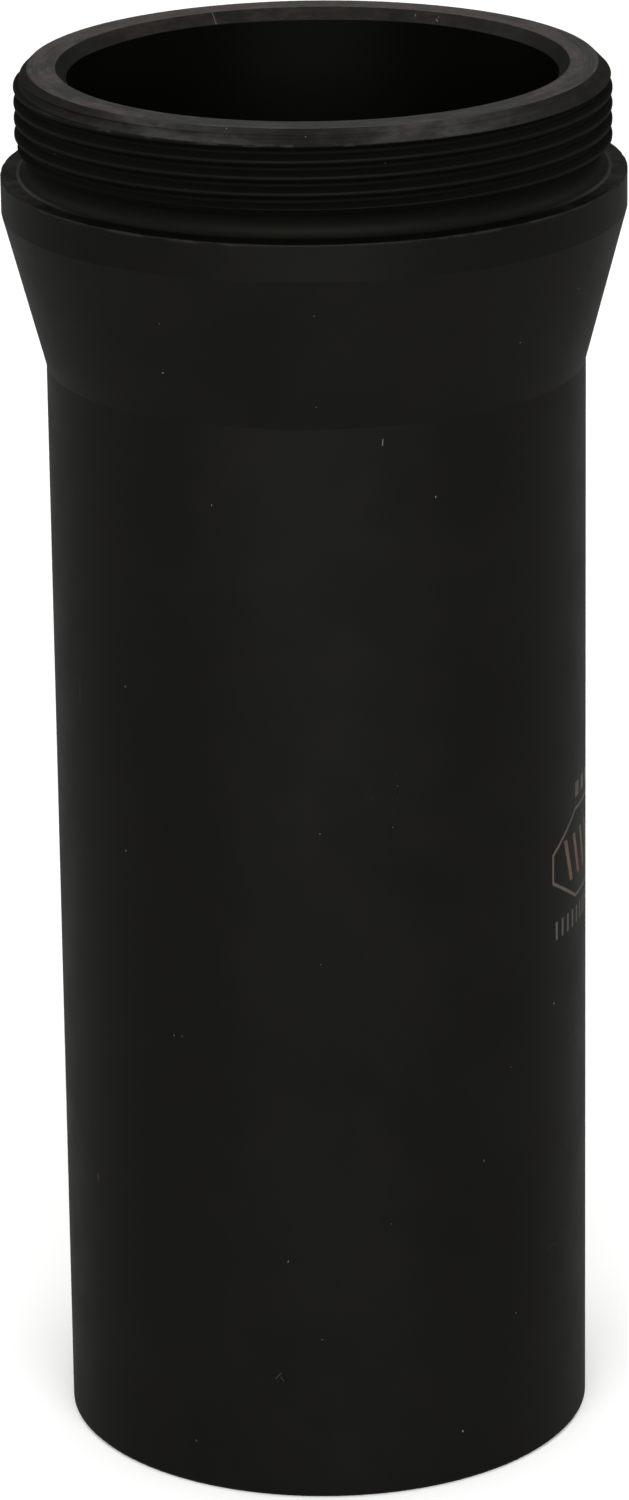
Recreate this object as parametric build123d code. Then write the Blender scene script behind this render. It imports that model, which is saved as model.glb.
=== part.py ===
from build123d import *
import os
from math import tan, radians

# Threaded support sleeve: one piece turned from a steel tube, open from end to end.
# Units are millimetres. +Z is up, the origin is the centre of the bottom end face,
# and the threaded end is at the top.

# ---- heights of the steps along the axis ----
LENGTH = 181.2             # bottom end face to top rim
TUBE_TOP = 143.2           # the plain tube ends and the cone begins
CONE_TOP = 163.0           # the cone ends and the collar begins
SHOULDER = 167.7           # flat shoulder on top of the collar

# ---- radii ----
TUBE_RADIUS = 34.2
COLLAR_RADIUS = 39.4
BORE_RADIUS = 30.8

# ---- thread: 75 mm major diameter, 2 mm pitch, right hand, 60 degree flanks ----
THREAD_RADIUS = 37.5
THREAD_PITCH = 2.0
CREST_FLAT = 0.3           # width of the flat on top of the thread
THREAD_DEPTH = 1.15
FLANK_ANGLE = 30.0         # each flank, measured from a plane square to the axis
ROOT_RADIUS = THREAD_RADIUS - THREAD_DEPTH
CREST_HEIGHT_IN_FRONT = 175.4   # a crest crosses the -Y side of the sleeve at this height

# ---- relief groove between the thread and the shoulder ----
RELIEF_RADIUS = 36.2       # a little deeper than the thread, so that a nut runs off it
RELIEF_TOP = 171.6         # where the groove's 45 degree upper flank meets the crests
RELIEF_FILLET = 1.5        # rounded corner where the groove meets the shoulder

# ---- edge breaks ----
RIM_OUTER_CHAMFER = 1.75   # lead-in of the thread
RIM_INNER_CHAMFER = 1.4
FOOT_OUTER_CHAMFER = 0.5
FOOT_INNER_CHAMFER = 0.5
COLLAR_EDGE_BREAK = 0.15

# ---- helical groove cutter ----
CUTTER_OVERSHOOT = 0.12    # how far the cutter stands out of the crests
CUTTER_TURNS = 7
CUTTER_TURNS_BACK = 2.25   # its start, counted back from the groove at CREST_HEIGHT_IN_FRONT


def turned_body():
    """The sleeve without its thread, revolved from one half section."""
    relief_flank_foot = RELIEF_TOP - (THREAD_RADIUS - RELIEF_RADIUS)
    with BuildPart() as body:
        with BuildSketch(Plane.XZ):
            with BuildLine():
                Polyline(
                    (BORE_RADIUS, FOOT_INNER_CHAMFER),
                    (BORE_RADIUS + FOOT_INNER_CHAMFER, 0),
                    (TUBE_RADIUS - FOOT_OUTER_CHAMFER, 0),
                    (TUBE_RADIUS, FOOT_OUTER_CHAMFER),
                    (TUBE_RADIUS, TUBE_TOP),
                    (COLLAR_RADIUS, CONE_TOP),
                    (COLLAR_RADIUS, SHOULDER - COLLAR_EDGE_BREAK),
                    (COLLAR_RADIUS - COLLAR_EDGE_BREAK, SHOULDER),
                    (RELIEF_RADIUS + RELIEF_FILLET, SHOULDER),
                )
                RadiusArc(
                    (RELIEF_RADIUS + RELIEF_FILLET, SHOULDER),
                    (RELIEF_RADIUS, SHOULDER + RELIEF_FILLET),
                    RELIEF_FILLET,
                )
                Polyline(
                    (RELIEF_RADIUS, SHOULDER + RELIEF_FILLET),
                    (RELIEF_RADIUS, relief_flank_foot),
                    (THREAD_RADIUS, RELIEF_TOP),
                    (THREAD_RADIUS, LENGTH - RIM_OUTER_CHAMFER),
                    (THREAD_RADIUS - RIM_OUTER_CHAMFER, LENGTH),
                    (BORE_RADIUS + RIM_INNER_CHAMFER, LENGTH),
                    (BORE_RADIUS, LENGTH - RIM_INNER_CHAMFER),
                    (BORE_RADIUS, FOOT_INNER_CHAMFER),
                )
            make_face()
        revolve(axis=Axis.Z)
    return body.part


def thread_groove():
    """The helical groove between the crests, as one solid to take away."""
    slope = tan(radians(FLANK_ANGLE))
    root_half = (THREAD_PITCH - CREST_FLAT) / 2 - THREAD_DEPTH * slope
    outer_half = root_half + (THREAD_DEPTH + CUTTER_OVERSHOOT) * slope
    outer_radius = THREAD_RADIUS + CUTTER_OVERSHOOT

    # The cutter starts in the open space of the relief groove and leaves through the rim.
    groove_in_front = CREST_HEIGHT_IN_FRONT - THREAD_PITCH / 2
    start_height = groove_in_front - CUTTER_TURNS_BACK * THREAD_PITCH
    start_angle = -90 - CUTTER_TURNS_BACK * 360
    section = Plane.XZ * make_face(
        Polyline(
            (ROOT_RADIUS, -root_half),
            (outer_radius, -outer_half),
            (outer_radius, outer_half),
            (ROOT_RADIUS, root_half),
            close=True,
        )
    )
    path = Helix(pitch=THREAD_PITCH, height=CUTTER_TURNS * THREAD_PITCH, radius=ROOT_RADIUS)
    groove = sweep(section, path=path, is_frenet=True)
    return Pos(0, 0, start_height) * Rot(0, 0, start_angle) * groove


def support_sleeve():
    return turned_body() - thread_groove()


os.makedirs("parts", exist_ok=True)
sleeve = support_sleeve()
sleeve.label = "support_sleeve"
export_step(sleeve, "parts/support_sleeve.step")
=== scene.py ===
"""Looks of a threaded support sleeve: black-oxide steel, turned from one piece, on a pale floor."""

import math
import random

import bmesh
import bpy
import numpy as np
from mathutils import Matrix, Vector


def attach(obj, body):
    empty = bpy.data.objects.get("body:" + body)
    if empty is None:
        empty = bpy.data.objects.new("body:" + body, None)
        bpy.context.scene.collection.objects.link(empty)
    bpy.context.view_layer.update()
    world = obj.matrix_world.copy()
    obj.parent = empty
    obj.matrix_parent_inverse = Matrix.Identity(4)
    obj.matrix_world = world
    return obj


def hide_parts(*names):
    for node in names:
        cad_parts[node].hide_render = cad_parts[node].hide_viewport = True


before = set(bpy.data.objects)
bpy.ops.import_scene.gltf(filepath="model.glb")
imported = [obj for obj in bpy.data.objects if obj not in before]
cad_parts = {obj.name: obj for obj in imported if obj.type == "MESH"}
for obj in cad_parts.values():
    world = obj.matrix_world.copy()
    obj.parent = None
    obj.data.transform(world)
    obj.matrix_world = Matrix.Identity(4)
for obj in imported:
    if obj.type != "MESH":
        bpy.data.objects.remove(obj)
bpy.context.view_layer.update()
MM = 0.001

# ---- the sleeve's sizes in millimetres, as the CAD model has them ----
LENGTH = 181.2
TUBE_TOP = 143.2
CONE_TOP = 163.0
SHOULDER = 167.7
TUBE_RADIUS = 34.2
COLLAR_RADIUS = 39.4
BORE_RADIUS = 30.8
THREAD_RADIUS = 37.5
THREAD_PITCH = 2.0
CREST_FLAT = 0.3
THREAD_DEPTH = 1.15
FLANK_ANGLE = 30.0         # each flank, measured from a plane square to the axis
FLANK_SLOPE = 1 / math.tan(math.radians(FLANK_ANGLE))
ROOT_RADIUS = THREAD_RADIUS - THREAD_DEPTH
CREST_HEIGHT_IN_FRONT = 175.4
RELIEF_RADIUS = 36.2
RELIEF_TOP = 171.6
RELIEF_FILLET = 1.5
RIM_OUTER_CHAMFER = 1.75
RIM_INNER_CHAMFER = 1.4
FOOT_CHAMFER = 0.5

# ---- what the mesh adds, in millimetres: small rounded edges, and nicks on the collar's edge ----
COLUMNS = 400              # faces round the sleeve
EDGE_ROUND = 0.12          # radius of an ordinary machined edge
ARC_STEPS = 4
SUPPORT = 0.15             # a row this far from a rounded edge keeps the flat beside it flat
CREST_ROUND = 0.09
ROOT_ROUND = 0.22
FINE_ROW = 0.065           # row spacing where the thread runs out
THREAD_LOW = RELIEF_TOP - 1.4       # just below the relief groove's upper flank
THREAD_HIGH = LENGTH - 0.1          # just below the rim
HELIX_LOW = RELIEF_TOP              # rows of faces climb with the thread from here
HELIX_HIGH = LENGTH - RIM_OUTER_CHAMFER   # up to here
HALF_PITCH_ROWS = (0.09, 0.15, 0.21, 0.35, 0.55, 0.72, 0.80, 0.88)   # from a crest's middle
MERGE_DISTANCE = 0.002     # points closer than this are one
NICKS = 26
NICK_DEPTH = 0.16
NICK_WIDTH = (0.006, 0.016)   # least and most, in radians round the collar
NICK_FADE = 0.2            # a nick fades over about this distance from the edge
NICK_REACH = 0.6           # and is gone this far from it

ANGLES = np.arange(COLUMNS) * (2 * math.pi / COLUMNS) - math.pi


# ------------------------------------------------------------------ shape

def smooth_min(a, b, width):
    """The lower of two arrays, with the corner between them rounded."""
    share = np.clip(0.5 + 0.5 * (b - a) / width, 0, 1)
    return b * (1 - share) + a * share - width * share * (1 - share) / 2


def smooth_max(a, b, width):
    """The higher of two arrays, with the corner between them rounded."""
    return -smooth_min(-a, -b, width)


def crest_height(angle):
    """Height of one thread crest at each angle: a right-hand helix."""
    return CREST_HEIGHT_IN_FRONT + THREAD_PITCH * (angle + math.pi / 2) / (2 * math.pi)


def blank_radius(z):
    """Radius of the threaded end before the thread is cut: relief flank, crests and chamfer."""
    relief = np.maximum(THREAD_RADIUS + z - RELIEF_TOP, RELIEF_RADIUS)
    chamfer = THREAD_RADIUS - RIM_OUTER_CHAMFER + LENGTH - z
    body = smooth_min(np.full_like(z, THREAD_RADIUS), chamfer, EDGE_ROUND)
    return smooth_min(body, relief, EDGE_ROUND)


def thread_radius(z):
    """Radius of the threaded end at each column's height."""
    offset = (z - crest_height(ANGLES) + THREAD_PITCH / 2) % THREAD_PITCH - THREAD_PITCH / 2
    flank = THREAD_RADIUS - (np.abs(offset) - CREST_FLAT / 2) * FLANK_SLOPE
    groove = smooth_max(flank, np.full_like(z, ROOT_RADIUS), ROOT_ROUND)
    return smooth_min(blank_radius(z), groove, CREST_ROUND)


def rounded_rows(points):
    """(radius, height) rows along a section of (radius, height, corner radius) points."""
    rows = []
    for i, (r, z, corner) in enumerate(points):
        here = Vector((r, z))
        if corner == 0:
            rows.append(here)
            continue
        back = Vector(points[i - 1][:2]) - here
        on = Vector(points[i + 1][:2]) - here
        half = back.angle(on) / 2
        reach = corner / math.tan(half)
        centre = here + (back.normalized() + on.normalized()).normalized() * corner / math.sin(half)
        start = here + back.normalized() * reach - centre
        end = here + on.normalized() * reach - centre
        first = math.atan2(start.y, start.x)
        turn = (math.atan2(end.y, end.x) - first + math.pi) % (2 * math.pi) - math.pi
        if back.length > 2 * (reach + SUPPORT):
            rows.append(here + back.normalized() * (reach + SUPPORT))
        for k in range(ARC_STEPS + 1):
            angle = first + turn * k / ARC_STEPS
            rows.append(centre + Vector((math.cos(angle), math.sin(angle))) * corner)
        if on.length > 2 * (reach + SUPPORT):
            rows.append(here + on.normalized() * (reach + SUPPORT))
    return [(np.full(COLUMNS, p.x), np.full(COLUMNS, p.y)) for p in rows]


def smooth_section():
    """The section from the threaded end's top, through the bore and round the foot, up to the thread."""
    top_radius = THREAD_RADIUS - RIM_OUTER_CHAMFER
    edge = EDGE_ROUND
    return rounded_rows([
        (top_radius + LENGTH - THREAD_HIGH, THREAD_HIGH, 0),
        (top_radius, LENGTH, edge / 2),
        (BORE_RADIUS + RIM_INNER_CHAMFER, LENGTH, edge),
        (BORE_RADIUS, LENGTH - RIM_INNER_CHAMFER, edge),
        (BORE_RADIUS, FOOT_CHAMFER, edge),
        (BORE_RADIUS + FOOT_CHAMFER, 0, edge),
        (TUBE_RADIUS - FOOT_CHAMFER, 0, edge),
        (TUBE_RADIUS, FOOT_CHAMFER, edge),
        (TUBE_RADIUS, TUBE_TOP, edge),
        (COLLAR_RADIUS, CONE_TOP, edge),
        (COLLAR_RADIUS, SHOULDER - NICK_REACH, 0),
        (COLLAR_RADIUS, SHOULDER, edge),
        (COLLAR_RADIUS - NICK_REACH, SHOULDER, 0),
        (RELIEF_RADIUS, SHOULDER, RELIEF_FILLET),
        (RELIEF_RADIUS, THREAD_LOW, 0),
    ])


def level_rows(low, high):
    """Level rows of the threaded end from low to high, both included."""
    steps = math.ceil((high - low) / FINE_ROW)
    heights = np.linspace(low, high, steps + 1)
    return [(thread_radius(np.full(COLUMNS, z)), np.full(COLUMNS, z)) for z in heights]


def helix_rows():
    """Rows that climb with the thread, each held between HELIX_LOW and HELIX_HIGH."""
    upper = [0.0, *HALF_PITCH_ROWS, THREAD_PITCH / 2]
    lower = [THREAD_PITCH - u for u in reversed(HALF_PITCH_ROWS)]
    one_pitch = upper + lower
    first = math.floor((HELIX_LOW - crest_height(math.pi)) / THREAD_PITCH)
    last = math.ceil((HELIX_HIGH - crest_height(-math.pi)) / THREAD_PITCH)
    rows = []
    for turn in range(first, last):
        for u in one_pitch:
            z = np.clip(crest_height(ANGLES) + turn * THREAD_PITCH + u, HELIX_LOW, HELIX_HIGH)
            rows.append((thread_radius(z), z))
    z = np.full(COLUMNS, HELIX_HIGH)
    rows.append((thread_radius(z), z))
    return rows, len(one_pitch)


def nick_edge(rows):
    """Small dents along the collar's upper edge, from handling."""
    rng = random.Random(11)
    for _ in range(NICKS):
        middle = rng.uniform(-math.pi, math.pi)
        width = rng.uniform(*NICK_WIDTH)
        depth = NICK_DEPTH * rng.uniform(0.3, 1)
        away = (ANGLES - middle + math.pi) % (2 * math.pi) - math.pi
        dent = depth * np.exp(-(away / width) ** 2)
        for r, z in rows:
            near = np.exp(-(((r - COLLAR_RADIUS) ** 2 + (z - SHOULDER) ** 2) / NICK_FADE ** 2))
            r -= dent * near
            z -= dent * near / 2


def sleeve_mesh():
    """The whole sleeve as one closed mesh, a grid of rows that goes once round its section."""
    bottom = level_rows(THREAD_LOW, HELIX_LOW)
    middle, per_pitch = helix_rows()
    top = level_rows(HELIX_HIGH, THREAD_HIGH)
    rest = smooth_section()
    nick_edge(rest)
    rows = bottom + middle + top + rest[1:-1]
    points = np.empty((len(rows), COLUMNS, 3))
    for i, (r, z) in enumerate(rows):
        points[i] = np.stack([r * np.cos(ANGLES), r * np.sin(ANGLES), z], axis=1) * MM

    def corner(row, column):
        return (row % len(rows)) * COLUMNS + column

    faces = []
    first, last = len(bottom), len(bottom) + len(middle) - 1
    for row in range(len(rows)):
        for column in range(COLUMNS - 1):
            faces.append((corner(row, column), corner(row, column + 1),
                          corner(row + 1, column + 1), corner(row + 1, column)))
        if not first <= row < last:
            faces.append((corner(row, COLUMNS - 1), corner(row, 0),
                          corner(row + 1, 0), corner(row + 1, COLUMNS - 1)))
    # Where the last column meets the first, the helix has climbed by one pitch of rows.
    for row in range(first - per_pitch, last):
        left, left_up = max(row, first), max(row + 1, first)
        right, right_up = min(row + per_pitch, last), min(row + 1 + per_pitch, last)
        quad = [corner(left, COLUMNS - 1), corner(right, 0),
                corner(right_up, 0), corner(left_up, COLUMNS - 1)]
        unique = list(dict.fromkeys(quad))
        if len(unique) > 2:
            faces.append(tuple(unique))

    mesh = bpy.data.meshes.new("support_sleeve_finish")
    mesh.from_pydata(points.reshape(-1, 3).tolist(), [], faces)
    work = bmesh.new()
    work.from_mesh(mesh)
    bmesh.ops.remove_doubles(work, verts=work.verts, dist=MERGE_DISTANCE * MM)
    bmesh.ops.dissolve_degenerate(work, edges=work.edges, dist=MERGE_DISTANCE / 2 * MM)
    for face in work.faces:
        face.smooth = True
    work.to_mesh(mesh)
    work.free()
    return mesh


# ------------------------------------------------------------------ materials

class Graph:
    """Short ways to build one node tree."""

    def __init__(self, tree):
        self.tree = tree
        tree.nodes.clear()

    def node(self, kind, inputs=(), **settings):
        """A new node, with its settings and the values or links of its inputs."""
        made = self.tree.nodes.new(kind)
        for name, value in settings.items():
            setattr(made, name, value)
        for name, value in dict(inputs).items():
            self.put(made.inputs[name], value)
        return made

    def put(self, socket, value):
        """Links a socket to another, or sets it to a value."""
        if isinstance(value, bpy.types.NodeSocket):
            self.tree.links.new(value, socket)
        else:
            socket.default_value = value

    def math(self, operation, *values):
        made = self.tree.nodes.new("ShaderNodeMath")
        made.operation = operation
        for socket, value in zip(made.inputs, values):
            self.put(socket, value)
        return made.outputs[0]

    def add(self, first, *others):
        for other in others:
            first = self.math("ADD", first, other)
        return first

    def times(self, first, *others):
        for other in others:
            first = self.math("MULTIPLY", first, other)
        return first

    def less(self, a, b):
        """a with b taken away."""
        return self.math("SUBTRACT", a, b)

    def most(self, first, *others):
        for other in others:
            first = self.math("MAXIMUM", first, other)
        return first

    def other(self, share):
        """What is left of 1."""
        return self.math("SUBTRACT", 1.0, share)

    def step(self, value, start, end, low=0.0, high=1.0):
        """A smooth step from low at start to high at end."""
        made = self.node("ShaderNodeMapRange", {"Value": value, "From Min": start, "From Max": end,
                                                "To Min": low, "To Max": high},
                         interpolation_type="SMOOTHSTEP")
        return made.outputs[0]

    def near(self, value, middle, reach, soft):
        """1 within reach of middle, falling to 0 over soft."""
        return self.step(self.math("ABSOLUTE", self.less(value, middle)), reach, reach + soft, 1.0, 0.0)

    def vector(self, x, y, z):
        return self.node("ShaderNodeCombineXYZ", {"X": x, "Y": y, "Z": z}).outputs[0]

    def noise(self, vector, scale, detail=3.0, roughness=0.5):
        made = self.node("ShaderNodeTexNoise", {"Vector": vector, "Scale": scale, "Detail": detail,
                                                "Roughness": roughness})
        return made.outputs["Fac"]

    def mix(self, share, a, b):
        """The colour a where share is 0 and b where it is 1."""
        made = self.node("ShaderNodeMix", data_type="RGBA")
        sockets = {socket.identifier: socket for socket in made.inputs}
        for name, value in (("Factor_Float", share), ("A_Color", a), ("B_Color", b)):
            self.put(sockets[name], (*value, 1) if isinstance(value, tuple) else value)
        return next(socket for socket in made.outputs if socket.identifier == "Result_Color")

    def scaled(self, vector, amount):
        """A colour or a vector times a number."""
        made = self.node("ShaderNodeVectorMath", {0: vector, "Scale": amount}, operation="SCALE")
        return made.outputs["Vector"]

    def finish(self, kind, surface):
        """Puts a shader into the tree's output node."""
        self.node(kind, {"Surface": surface.outputs[0]})


class Surface:
    """Where a point lies on the sleeve, in millimetres, and which machined face that is."""

    def __init__(self, g):
        metres = g.node("ShaderNodeTexCoord").outputs["Object"]
        self.place = g.scaled(metres, 1 / MM)
        x, y, self.z = g.node("ShaderNodeSeparateXYZ", {"Vector": self.place}).outputs
        self.r = g.math("SQRT", g.add(g.times(x, x), g.times(y, y)))
        self.around = g.math("ARCTAN2", x, g.times(y, -1.0))      # 0 in front, growing towards +X
        self.arc = g.times(self.around, TUBE_RADIUS)
        self.behind = g.times(g.math("COSINE", self.around), -1.0)

        outside = g.step(self.r, ROOT_RADIUS - 1.2, ROOT_RADIUS - 1.0)
        inside = g.other(outside)
        self.rim = g.step(self.z, LENGTH - 0.05, LENGTH - 0.02)
        bevel = g.step(self.r, BORE_RADIUS + 0.02, BORE_RADIUS + 0.08)
        bevel_foot = LENGTH - RIM_INNER_CHAMFER
        self.bore = g.times(inside, g.other(bevel))
        self.inner_chamfer = g.times(inside, g.other(self.rim), bevel,
                                     g.step(self.z, bevel_foot - 0.05, bevel_foot))
        at_chamfer = g.step(self.z, HELIX_HIGH - 0.03, HELIX_HIGH + 0.05)
        self.outer_chamfer = g.times(outside, g.other(self.rim), at_chamfer)
        above_shoulder = g.step(self.z, SHOULDER - 0.03, SHOULDER - 0.01)
        within_collar = g.step(self.r, COLLAR_RADIUS - 0.35, COLLAR_RADIUS - 0.1, 1.0, 0.0)
        self.thread = g.times(outside, above_shoulder, within_collar, g.other(at_chamfer))
        self.shoulder = g.times(self.thread, g.step(self.z, SHOULDER + 0.02, SHOULDER + 0.3, 1.0, 0.0))
        self.neck_foot = g.times(self.thread, g.step(self.z, SHOULDER + 0.4, SHOULDER + 3.0, 1.0, 0.0),
                                 g.step(self.r, RELIEF_RADIUS + 0.3, RELIEF_RADIUS + 2.4, 1.0, 0.0))
        self.root = g.times(self.thread, g.step(self.r, ROOT_RADIUS + 0.05, ROOT_RADIUS + 0.2, 1.0, 0.0),
                            g.step(self.z, RELIEF_TOP - 0.2, RELIEF_TOP))
        self.crest = g.times(self.thread, g.step(self.r, THREAD_RADIUS - 0.22, THREAD_RADIUS - 0.04))
        self.collar = g.step(self.z, CONE_TOP - 0.1, CONE_TOP + 0.1)
        self.cone = g.times(g.step(self.z, TUBE_TOP - 0.1, TUBE_TOP + 0.1), g.other(self.collar))

    def edge(self, g, r, z, reach):
        """1 close to the edge that runs round the sleeve at radius r and height z."""
        dr, dz = g.less(self.r, r), g.less(self.z, z)
        away = g.math("SQRT", g.add(g.times(dr, dr), g.times(dz, dz)))
        return g.step(away, reach * 0.5, reach, 1.0, 0.0)

    def in_front(self, g, reach, soft):
        """1 within reach of the front, an angle in radians, falling to 0 over soft."""
        return g.near(self.around, 0.0, reach, soft)


# Azimuth from the front (degrees, + towards +X), height, length, tilt from upright (degrees), strength.
SCRATCHES = (
    (13.5, 141.2, 0.9, 5, 0.5),
    (-22.5, 133.0, 0.25, 0, 0.55),
    (25.0, 133.5, 0.3, 20, 0.8),
    (-63.0, 104.0, 3.2, 3, 0.12),
    (-60.0, 38.0, 1.0, -15, 0.3),
    (66.0, 41.0, 2.2, 4, 0.14),
    (-8.5, 33.0, 0.35, 30, 0.5),
    (-11.0, 17.0, 1.2, 40, 0.14),
    (-10.2, 16.6, 0.8, -35, 0.11),
    (70.0, 55.0, 4.0, 86, 0.09),
    (58.0, 28.0, 2.5, 88, 0.07),
    (-34.0, 62.0, 0.3, 0, 0.3),
    (-32.0, 62.1, 0.3, 0, 0.25),
    (36.0, 44.0, 0.3, 0, 0.4),
    (150.0, 120.0, 5.0, 70, 0.15),
    (172.0, 64.0, 3.0, 12, 0.2),
    (-128.0, 88.0, 4.0, -60, 0.15),
    (-156.4, 180.5, 1.4, 0, 0.22),
    (155.0, 180.6, 0.3, 0, 0.4),
    (149.0, 180.3, 0.5, 60, 0.3),
)
SCRATCH_WIDTH = 0.09

MARK_AZIMUTH = 93            # degrees from the front, towards +X
MARK_HEIGHT = 79.7
MARK_HALF_WIDTH = 20.2
MARK_HALF_HEIGHT = 5.9
MARK_CUT = (7.4, 4.0)        # how far the cut corners reach along and up
MARK_LINE = 0.21             # half the outline's width
SOFT = 0.12                  # how gradually the etching starts


def specks(g, at, cell, chosen, radius):
    """Pale dots: one in a chosen share of the cells of a random net over the surface."""
    net = g.node("ShaderNodeTexVoronoi", {"Vector": g.vector(at.arc, at.z, 0.0), "Scale": 1 / cell},
                 voronoi_dimensions="2D")
    pick, size, bright = g.node("ShaderNodeSeparateColor", {"Color": net.outputs["Color"]}).outputs
    away = g.times(net.outputs["Distance"], cell)
    reach = g.times(radius, g.step(size, 0.0, 1.0, 0.45, 1.0))
    dot = g.step(g.math("DIVIDE", away, reach), 0.6, 1.0, 1.0, 0.0)
    return g.times(dot, g.step(pick, 1 - chosen - 0.001, 1 - chosen), g.step(bright, 0.0, 1.0, 0.2, 1.0))


def scratches(g, at):
    """Short scratches and dents that show steel through the oxide."""
    total = 0.0
    for azimuth, height, length, tilt, strength in SCRATCHES:
        across = g.less(at.arc, math.radians(azimuth) * TUBE_RADIUS)
        up = g.less(at.z, height)
        c, s = math.cos(math.radians(tilt)), math.sin(math.radians(tilt))
        along = g.add(g.times(up, c), g.times(across, s))
        aside = g.less(g.times(across, c), g.times(up, s))
        line = g.times(g.near(along, 0.0, length / 2 - 0.1, 0.15), g.near(aside, 0.0, 0.0, SCRATCH_WIDTH))
        total = g.most(total, g.times(line, strength))
    return total


def etched_panel(g, at):
    """A plain etched panel: an outline with cut corners, slanted bars in it, and a row above and below.

    Gives the outline with the rows, and the bars, as two masks.
    """
    across = g.less(at.arc, math.radians(MARK_AZIMUTH) * TUBE_RADIUS)
    up = g.less(at.z, MARK_HEIGHT)
    a, u = g.math("ABSOLUTE", across), g.math("ABSOLUTE", up)
    run, rise = MARK_CUT
    cut = g.times(g.add(g.times(g.less(a, MARK_HALF_WIDTH), rise),
                        g.times(g.less(u, MARK_HALF_HEIGHT - rise), run)), 1 / math.hypot(run, rise))
    out_of_panel = g.most(g.less(a, MARK_HALF_WIDTH), g.less(u, MARK_HALF_HEIGHT), cut)
    outline = g.near(out_of_panel, 0.0, MARK_LINE - SOFT / 2, SOFT)

    def row(pitch, width, low, high, each_side, lean=0.0):
        """Bars from low to high, one in the middle and some each side, leaning by a slope."""
        middle = (low + high) / 2
        place = g.add(across, g.times(g.less(up, middle), lean))
        phase = g.less(g.math("FLOORED_MODULO", g.add(place, pitch / 2), pitch), pitch / 2)
        return g.times(g.near(phase, 0.0, (width - SOFT) / 2, SOFT),
                       g.near(place, 0.0, (each_side + 0.5) * pitch, 0.02),
                       g.near(up, middle, (high - low - SOFT) / 2, SOFT))

    bars = row(3.1, 1.05, -3.2, 2.8, 5, 0.35)
    ticks = row(1.75, 0.55, -9.8, -7.4, 11)
    squares = row(3.0, 1.7, 7.4, 9.4, 4)
    return g.most(outline, ticks, squares), bars


# Linear colours. The oxide is nearly black with a green cast, and browner where it is thin.
OXIDE = (0.0045, 0.0046, 0.0041)
OXIDE_BROWN = (0.0050, 0.0046, 0.0041)
BORE = (0.0012, 0.0012, 0.0009)
# Painted shade: the whole thread zone, flanks, roots, relief groove and shoulder ring, is darkened for
# the shade in the groove.
THREAD_PAINTED_SHADE = (0.0004, 0.0006, 0.0002)
# A lighter painted shade on the thread's crests.
CREST_PAINTED_SHADE = (0.0020, 0.0021, 0.0015)
# A lighter painted shade at the relief's foot, where the thread above shades it less.
NECK_FOOT_PAINTED_SHADE = (0.0016, 0.0016, 0.0011)
# Painted reflection of the pale surroundings on the shoulder's top face at the sides.
SHOULDER_SIDE_PAINTED_REFLECTION = (0.0340, 0.0323, 0.0290)
CHAMFER = (0.0030, 0.0029, 0.0026)
CHAMFER_BROWN = (0.0064, 0.0047, 0.0041)
CHAMFER_PALE = (0.0210, 0.0194, 0.0180)
INNER_CHAMFER = (0.0030, 0.0029, 0.0024)
INNER_CHAMFER_BACK = (0.0090, 0.0072, 0.0063)
RIM_GREY = (0.0300, 0.0300, 0.0275)
RIM_BROWN = (0.0530, 0.0445, 0.0420)
# Partly wear and partly a painted highlight on the collar's edge, and wear on the outer chamfer's lower
# edge.
EDGE_WEAR_AND_PAINTED_HIGHLIGHT = (0.0138, 0.0124, 0.0109)
ETCHED_GREY = (0.100, 0.093, 0.086)
ETCHED_BROWN = (0.125, 0.080, 0.056)
BARE = (0.30, 0.27, 0.25)
PALE_AT = (-27, 27, 118, -140)      # where the outer chamfer is paler, in degrees from the front

ROUGH = 0.43
ROUGH_BORE = 0.32
ROUGH_FLANK = 1.0
ROUGH_ROOT = 0.8
ROUGH_CREST = 0.65
ROUGH_NECK_FOOT = 0.6
ROUGH_SHOULDER = 0.3
ROUGH_CHAMFER = 0.6
ROUGH_RIM = 0.55
SPECULAR = 0.1
SPECULAR_TINT = (1.0, 1.0, 0.86, 1.0)
TURNING_DEPTH = 0.0012 * MM


def oxide_colour(g, at, patches):
    """Black oxide on the tube, cone and collar, with faint cloudy patches."""
    clouds = g.noise(at.place, 0.045, 2.0, 0.5)
    colour = g.mix(g.step(patches, 0.46, 0.62), OXIDE, OXIDE_BROWN)
    colour = g.scaled(colour, g.step(clouds, 0.35, 0.65, 0.92, 1.08))
    return g.scaled(colour, g.add(1.0, g.times(at.collar, -0.25), g.times(at.cone, 0.15)))


def thread_painted_shade_and_reflection(g, at, colour):
    """Painted shade over the thread and relief groove, lighter on the crests and at the relief's foot,
    and a painted reflection on the shoulder's sides.
    """
    # painted shade over the whole thread zone, shoulder ring included
    colour = g.mix(at.thread, colour, THREAD_PAINTED_SHADE)
    # a lighter painted shade at the relief's foot
    colour = g.mix(at.neck_foot, colour, NECK_FOOT_PAINTED_SHADE)
    # a painted reflection on the shoulder's top face, near the sides
    reflection_beside = g.near(g.math("ABSOLUTE", at.around), 1.5, 0.2, 0.55)
    colour = g.mix(g.times(at.shoulder, reflection_beside), colour, SHOULDER_SIDE_PAINTED_REFLECTION)
    # a lighter painted shade on the crests, in patches
    in_places = g.noise(g.vector(at.arc, at.r, g.times(at.z, 2.0)), 0.35, 3.0, 0.6)
    return g.mix(g.times(at.crest, g.step(in_places, 0.3, 0.7, 0.5, 1.0)), colour, CREST_PAINTED_SHADE)


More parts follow.
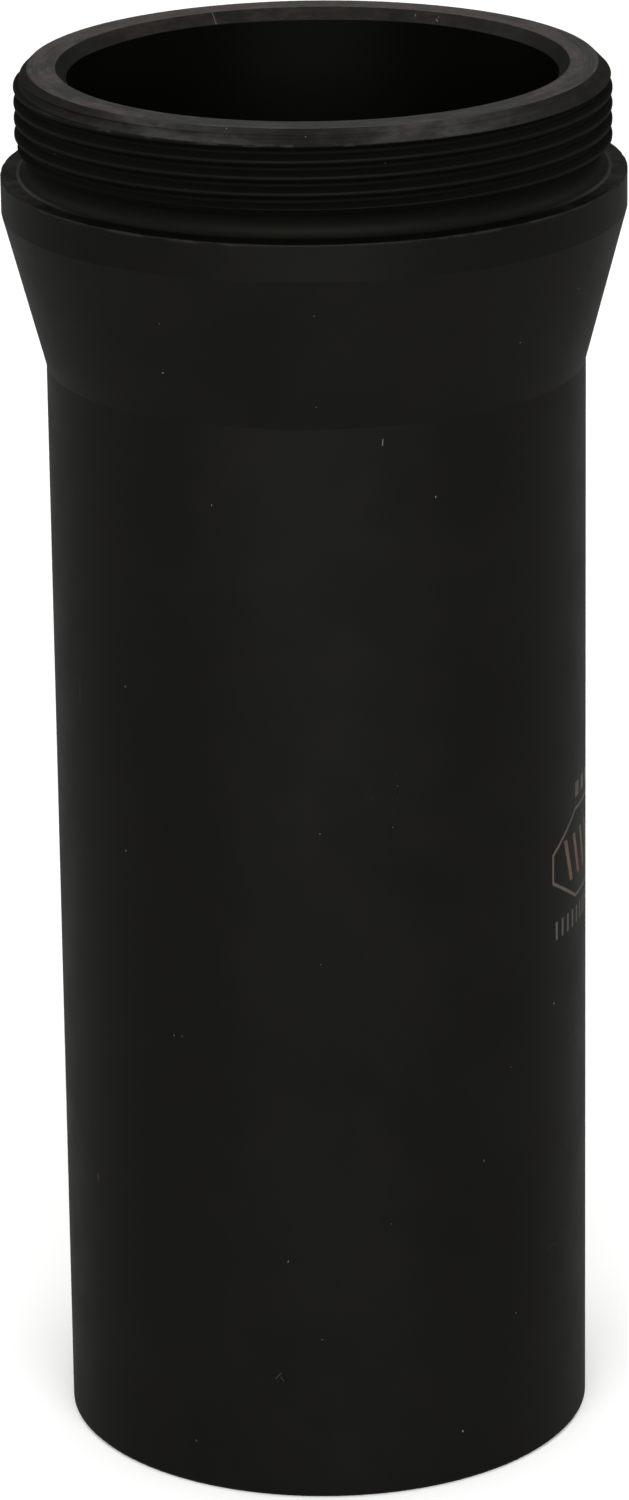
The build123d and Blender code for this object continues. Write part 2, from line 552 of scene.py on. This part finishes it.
def chamfer_colour(g, at, colour, mottle, blotch):
    """Both chamfers of the threaded end, mottled brown, the outer one paler in four places."""
    outer = g.mix(g.step(mottle, 0.45, 0.6), CHAMFER, CHAMFER_BROWN)
    in_places = g.most(*[g.near(at.around, math.radians(place), 0.1, 0.35) for place in PALE_AT])
    outer = g.mix(g.times(in_places, g.step(mottle, 0.3, 0.6, 0.45, 1.0)), outer, CHAMFER_PALE)
    outer = g.scaled(outer, g.step(blotch, 0.35, 0.65, 0.6, 1.4))
    colour = g.mix(at.outer_chamfer, colour, outer)

    back = g.mix(g.times(g.step(mottle, 0.42, 0.62), 0.7), INNER_CHAMFER_BACK, CHAMFER)
    inner = g.mix(g.step(g.add(at.behind, g.times(mottle, 0.3)), 0.35, 0.95), INNER_CHAMFER, back)
    inner = g.scaled(inner, g.step(blotch, 0.35, 0.65, 0.7, 1.35))
    return g.mix(at.inner_chamfer, colour, inner)


def rim_colour(g, at, colour, mottle):
    """The end face, grey in front and browner elsewhere, streaked by turning and handling."""
    rings = g.noise(g.vector(g.times(at.around, 3.0), g.times(at.r, 4.5), 0.0), 1.0, 4.0, 0.65)
    stain = g.noise(g.vector(g.times(at.arc, 0.12), g.times(at.r, 0.5), 3.0), 1.0, 2.0, 0.5)
    rim = g.mix(g.step(g.add(stain, g.times(at.behind, 0.12)), 0.36, 0.62), RIM_GREY, RIM_BROWN)
    rim = g.scaled(rim, g.step(rings, 0.3, 0.7, 0.7, 1.25))
    rim = g.scaled(rim, g.step(mottle, 0.3, 0.65, 1.15, 0.8))
    return g.mix(at.rim, colour, rim)


def worn_edges_and_painted_highlight(g, at, colour):
    """Thin lines on the collar's upper edge, partly wear and partly a painted highlight, and a worn line
    on the outer chamfer's lower edge.

    The collar's painted highlight is clearest about 35 degrees each side of the front.
    """
    line_breaks = g.noise(g.vector(g.times(at.arc, 0.35), at.z, 11.0), 1.0, 4.0, 0.65)
    highlight_ahead = g.step(g.math("ABSOLUTE", at.around), 0.6, 1.0, 1.0, 0.3)
    # The collar's line is partly wear and partly a painted highlight, dimmed in front and towards the
    # sides.
    collar = g.times(at.edge(g, COLLAR_RADIUS, SHOULDER, 0.4), g.step(line_breaks, 0.44, 0.60, 0.05, 1.0),
                     g.other(g.times(at.in_front(g, 0.2, 0.35), 0.8)), highlight_ahead)
    chamfer = g.times(at.edge(g, THREAD_RADIUS, HELIX_HIGH, 0.3), g.step(line_breaks, 0.50, 0.58))
    return g.mix(g.most(collar, chamfer), colour, EDGE_WEAR_AND_PAINTED_HIGHLIGHT)


def etching(g, at, colour, mottle, patches):
    """The etched panel, lighter and browner than the oxide, and unevenly bitten."""
    lines, bars = etched_panel(g, at)
    bitten = g.step(patches, 0.25, 0.6, 0.6, 1.0)
    grey = g.mix(g.step(mottle, 0.42, 0.6), ETCHED_GREY, ETCHED_BROWN)
    colour = g.mix(g.times(lines, bitten), colour, grey)
    return g.mix(g.times(bars, bitten), colour, ETCHED_BROWN)


def handling_marks(g, at, colour):
    """Specks, scratches and a dusting of dots in front, all showing bare steel."""
    dust = g.times(specks(g, at, cell=1.6, chosen=0.35, radius=0.13), 0.25,
                   g.near(at.around, 0.25, 0.03, 0.12), g.near(at.z, 94.0, 1.0, 6.0))
    sparse = g.times(specks(g, at, cell=9.0, chosen=0.13, radius=0.17), 0.5)
    pale = g.most(sparse, scratches(g, at), dust)
    return g.mix(pale, colour, BARE)


def black_oxide():
    """Black oxide on turned steel, worn on its edges and burnished on the rim, with painted shade on the
    thread, a painted reflection on the shoulder and a painted highlight on the collar's edge.
    """
    material = bpy.data.materials.new("black_oxide_steel")
    material.use_nodes = True
    g = Graph(material.node_tree)
    at = Surface(g)
    patches = g.noise(at.place, 0.13, 4.0, 0.6)
    mottle = g.noise(g.vector(g.times(at.arc, 0.6), at.z, at.r), 0.9, 5.0, 0.68)
    blotch = g.noise(g.vector(g.times(at.arc, 0.4), at.z, g.add(at.r, 20.0)), 0.35, 3.0, 0.6)

    colour = oxide_colour(g, at, patches)
    colour = thread_painted_shade_and_reflection(g, at, colour)
    colour = chamfer_colour(g, at, colour, mottle, blotch)
    colour = rim_colour(g, at, colour, mottle)
    colour = g.mix(at.bore, colour, BORE)
    colour = worn_edges_and_painted_highlight(g, at, colour)
    colour = etching(g, at, colour, mottle, patches)
    colour = handling_marks(g, at, colour)

    rough = g.step(patches, 0.3, 0.7, ROUGH - 0.03, ROUGH + 0.03)
    for zone, value in ((at.outer_chamfer, ROUGH_CHAMFER), (at.inner_chamfer, ROUGH_CHAMFER),
                        (at.thread, ROUGH_FLANK), (at.root, ROUGH_ROOT), (at.crest, ROUGH_CREST),
                        (at.neck_foot, ROUGH_NECK_FOOT), (at.shoulder, ROUGH_SHOULDER),
                        (at.bore, ROUGH_BORE), (at.rim, ROUGH_RIM)):
        rough = g.add(g.times(rough, g.other(zone)), g.times(zone, value))

    streaks = g.vector(g.times(at.around, 0.5), g.times(at.r, 3.0), g.times(at.z, 3.0))
    turning = g.noise(streaks, 1.0, 3.0, 0.7)
    grain = g.noise(at.place, 2.2, 2.0, 0.6)
    bump = g.node("ShaderNodeBump", {"Height": g.add(turning, g.times(grain, 0.5)),
                                     "Distance": TURNING_DEPTH, "Strength": 1.0})

    surface = g.node("ShaderNodeBsdfPrincipled", {"Base Color": colour, "Roughness": rough,
                                                  "Specular IOR Level": SPECULAR,
                                                  "Specular Tint": SPECULAR_TINT,
                                                  "Normal": bump.outputs["Normal"]})
    g.finish("ShaderNodeOutputMaterial", surface)
    return material


# ------------------------------------------------------------------ studio

# Sizes and places are in metres from the foot of the sleeve's axis, and powers in watts.
FLOOR_HALF = 30.0
FLOOR_SEEN = 1.0             # how pale the floor is to the camera
FLOOR_MIRRORED = 0.25        # and to everything else, as if black card lay on it out of view
HORIZON = 0.05
ZENITH = 1.5
SKY_FROM = 0.55              # the sky is as dark as the horizon up to here, as the sine of the elevation
SKY_TO = 0.95                # and as bright as the zenith from here
SLEEVE_MIDDLE = (0, 0, 0.09)
FLOOR_BEHIND = (0, 0.45, 0)
FRONT_POWER = 67.0
FRONT_AT = (0, -2.0, 0.9)
FRONT_SIZE = (2.6, 1.0)
BACK_POWER = 2.2
BACK_AT = (0, 0.9, 1.0)
BACK_SIZE = (2.6, 1.0)
SIDE_POWER = 10.0
SIDE_AT = (2.1, 0.5, 0.9)
SIDE_SIZE = (1.6, 1.0)
WARM_WHITE = (1.0, 1.0, 0.88)
SKY_SEEN = 0.73              # what the camera sees past the floor, as pale as the floor is far away


def add_floor():
    """A pale floor, large enough to fill the view."""
    mesh = bpy.data.meshes.new("floor")
    far = FLOOR_HALF
    corners = [(-far, -far, 0), (far, -far, 0), (far, far, 0), (-far, far, 0)]
    mesh.from_pydata(corners, [], [(0, 1, 2, 3)])
    floor = bpy.data.objects.new("floor", mesh)
    bpy.context.scene.collection.objects.link(floor)
    material = bpy.data.materials.new("pale_floor")
    material.use_nodes = True
    g = Graph(material.node_tree)
    seen = g.node("ShaderNodeLightPath").outputs["Is Camera Ray"]
    grey = g.step(seen, 0.0, 1.0, FLOOR_MIRRORED, FLOOR_SEEN)
    g.finish("ShaderNodeOutputMaterial", g.node("ShaderNodeBsdfDiffuse", {"Color": grey}))
    mesh.materials.append(material)


def add_softbox(name, at, aim, size, power, colour=(1.0, 1.0, 1.0)):
    """A rectangular light that the camera doesn't see."""
    light = bpy.data.lights.new(name, "AREA")
    light.shape = "RECTANGLE"
    light.size, light.size_y = size
    light.energy = power
    light.color = colour
    placed = bpy.data.objects.new(name, light)
    placed.location = at
    placed.rotation_euler = (Vector(aim) - Vector(at)).to_track_quat("-Z", "Y").to_euler()
    placed.visible_camera = False
    bpy.context.scene.collection.objects.link(placed)


def add_lights():
    """A softbox in front, weak ones behind and at the sides, and a sky that is brightest overhead."""
    world = bpy.data.worlds.new("studio")
    bpy.context.scene.world = world
    world.use_nodes = True
    g = Graph(world.node_tree)
    way = g.node("ShaderNodeTexCoord").outputs["Generated"]
    height = g.node("ShaderNodeSeparateXYZ", {"Vector": way}).outputs["Z"]
    sky = g.step(height, SKY_FROM, SKY_TO, HORIZON, ZENITH)
    seen = g.node("ShaderNodeLightPath").outputs["Is Camera Ray"]
    strength = g.add(g.times(seen, SKY_SEEN), g.times(g.other(seen), sky))
    g.finish("ShaderNodeOutputWorld",
             g.node("ShaderNodeBackground", {"Color": (1, 1, 1, 1), "Strength": strength}))
    add_softbox("front_softbox", FRONT_AT, SLEEVE_MIDDLE, FRONT_SIZE, FRONT_POWER)
    add_softbox("back_softbox", BACK_AT, FLOOR_BEHIND, BACK_SIZE, BACK_POWER)
    for name, side in (("left_softbox", -1), ("right_softbox", 1)):
        x, y, z = SIDE_AT
        add_softbox(name, (side * x, y, z), SLEEVE_MIDDLE, SIDE_SIZE, SIDE_POWER, WARM_WHITE)


CAMERA_AT = (0, -0.8028, 0.3639)
CAMERA_LENS = 157.2          # millimetres, on a sensor 36 mm high
CAMERA_PAN = 0.063           # degrees
CAMERA_DOWN = 18.82
CAMERA_ROLL = -0.76


def add_camera():
    """Looks down on the sleeve from in front."""
    camera = bpy.data.cameras.new("camera")
    camera.sensor_fit = "VERTICAL"
    camera.sensor_height = 36
    camera.lens = CAMERA_LENS
    camera.clip_start = 0.01
    camera.clip_end = 100
    seen = bpy.data.objects.new("camera", camera)
    seen.matrix_world = (Matrix.Translation(CAMERA_AT)
                         @ Matrix.Rotation(math.radians(CAMERA_PAN), 4, "Z")
                         @ Matrix.Rotation(math.radians(90 - CAMERA_DOWN), 4, "X")
                         @ Matrix.Rotation(math.radians(CAMERA_ROLL), 4, "Z"))
    bpy.context.scene.collection.objects.link(seen)
    bpy.context.scene.camera = seen


bpy.context.scene.view_settings.view_transform = "Standard"

sleeve = bpy.data.objects.new("support_sleeve_finish", sleeve_mesh())
bpy.context.scene.collection.objects.link(sleeve)
sleeve.data.materials.append(black_oxide())
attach(sleeve, "root")
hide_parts("support_sleeve")

add_floor()
add_lights()
add_camera()
